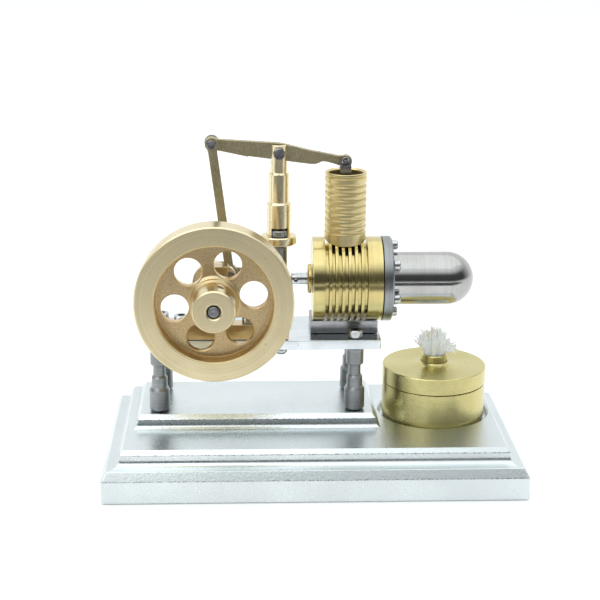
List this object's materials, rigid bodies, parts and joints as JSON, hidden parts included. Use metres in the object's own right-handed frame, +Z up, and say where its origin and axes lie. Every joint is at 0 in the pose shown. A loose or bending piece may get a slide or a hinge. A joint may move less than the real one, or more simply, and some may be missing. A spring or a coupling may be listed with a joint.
{
  "type": "model hot-air beam engine",
  "caption": "Tabletop hot-air beam engine: brass flywheel and ringed cylinders on a deck over a stepped metal plinth, with a spirit burner.",
  "frame": {"origin": "centre of the plinth underside, on the table", "axes": "+X from the flywheel end to the burner end, +Y from the flywheel side to the back, +Z up"},
  "size_m": [0.15, 0.08, 0.1213],
  "materials": {
    "plinth_aluminium": "fine satin grain, bright machined mouldings",
    "deck_aluminium": "bright milled plate",
    "pale_brass": "pale lathe-turned brass with fine turning lines",
    "gold_brass": "polished yellow brass",
    "dark_brass": "dull cut brass strip, darkened",
    "turned_steel": "turned steel, darker",
    "bright_steel": "bright ground steel",
    "stainless_heater": "polished stainless, brushed round",
    "cotton": "undyed cotton strands"
  },
  "bodies": {
    "stand": {"base_plinth": "plinth_aluminium", "bearing_bracket": "bright_steel", "bush_back": "pale_brass", "bush_front": "pale_brass", "column_front_left": "turned_steel", "column_front_right": "turned_steel", "column_rear_left": "turned_steel", "column_rear_right": "turned_steel", "cylinder_saddle": "bright_steel", "deck_plate": "deck_aluminium", "displacer_cylinder": "gold_brass", "flange_screw_1": "turned_steel", "flange_screw_2": "turned_steel", "flange_screw_3": "turned_steel", "flange_screw_4": "turned_steel", "flange_screw_5": "turned_steel", "flange_screw_6": "turned_steel", "fulcrum_fork": "pale_brass", "fulcrum_lock_screw": "turned_steel", "fulcrum_post": "turned_steel", "fulcrum_screw": "turned_steel", "gland_disc": "gold_brass", "heater_cap": "stainless_heater", "heater_flange": "bright_steel", "power_cylinder": "gold_brass", "rod_guide": "bright_steel", "screw_bracket_clamp": "turned_steel", "screw_bracket_left": "turned_steel", "screw_bracket_right": "turned_steel", "screw_front_left": "turned_steel", "screw_front_right": "turned_steel", "screw_rear_left": "turned_steel", "screw_rear_right": "turned_steel"},
    "crank": {"flywheel": "pale_brass", "hub_set_screw": "turned_steel", "crankshaft": "bright_steel", "crank_disc": "bright_steel", "crank_pin": "turned_steel"},
    "beam": {"walking_beam": "dark_brass", "rod_pin": "turned_steel", "wrist_pin": "turned_steel"},
    "main_rod": {"connecting_rod": "dark_brass", "big_end_pin": "turned_steel"},
    "fork_link": {"piston_link": "turned_steel"},
    "power_piston": {"piston": "turned_steel", "gudgeon_pin": "turned_steel"},
    "displacer_unit": {"displacer": "turned_steel", "displacer_rod": "bright_steel", "rod_end": "bright_steel", "rod_end_pin": "turned_steel"},
    "flat_link": {"displacer_link": "dark_brass", "link_pin": "turned_steel"},
    "burner": {"burner_cup": "gold_brass"},
    "burner_top": {"burner_lid": "gold_brass", "wick_tube": "gold_brass", "wick": "cotton"}
  },
  "joints": [
    {"name": "crank_spin", "type": "hinge", "parent": "stand", "child": "crank", "pos_m": [-0.0352, 0, 0.0685], "axis": [0, 1, 0], "continuous": true},
    {"name": "beam_rock", "type": "hinge", "parent": "stand", "child": "beam", "pos_m": [-0.0122, 0.0055, 0.1154], "axis": [0, 1, 0], "range_deg": [-21.8, 7]},
    {"name": "main_rod_swing", "type": "hinge", "parent": "beam", "child": "main_rod", "pos_m": [-0.03608, 0.0031, 0.11867], "axis": [0, 1, 0], "range_deg": [-7.1, 21.9]},
    {"name": "fork_link_swing", "type": "hinge", "parent": "beam", "child": "fork_link", "pos_m": [0.01168, 0.0055, 0.11213], "axis": [0, 1, 0], "range_deg": [-7.1, 21.9]},
    {"name": "piston_slide", "type": "slide", "parent": "stand", "child": "power_piston", "axis": [0, 0, 1], "range_m": [-0.003, 0.0092]},
    {"name": "displacer_slide", "type": "slide", "parent": "stand", "child": "displacer_unit", "axis": [1, 0, 0], "range_m": [-0.0113, 0.0007]},
    {"name": "flat_link_swing", "type": "hinge", "parent": "displacer_unit", "child": "flat_link", "pos_m": [-0.01162, 0.0065, 0.0685], "axis": [0, 1, 0], "range_deg": [-28.5, 9.3]},
    {"name": "burner_lift", "type": "slide", "parent": "stand", "child": "burner", "axis": [0, 0, 1], "range_m": [0, 0.004]},
    {"name": "burner_lid_lift", "type": "slide", "parent": "burner", "child": "burner_top", "axis": [0, 0, 1], "range_m": [0, 0.0045]}
  ],
  "couplings": [
    {"joint": "main_rod_swing", "follows": "beam_rock", "ratio": -1},
    {"joint": "fork_link_swing", "follows": "beam_rock", "ratio": -1},
    {"joint": "piston_slide", "follows": "beam_rock", "m_per_rad": -0.0238},
    {"joint": "flat_link_swing", "follows": "beam_rock", "ratio": 1.297}
  ]
}
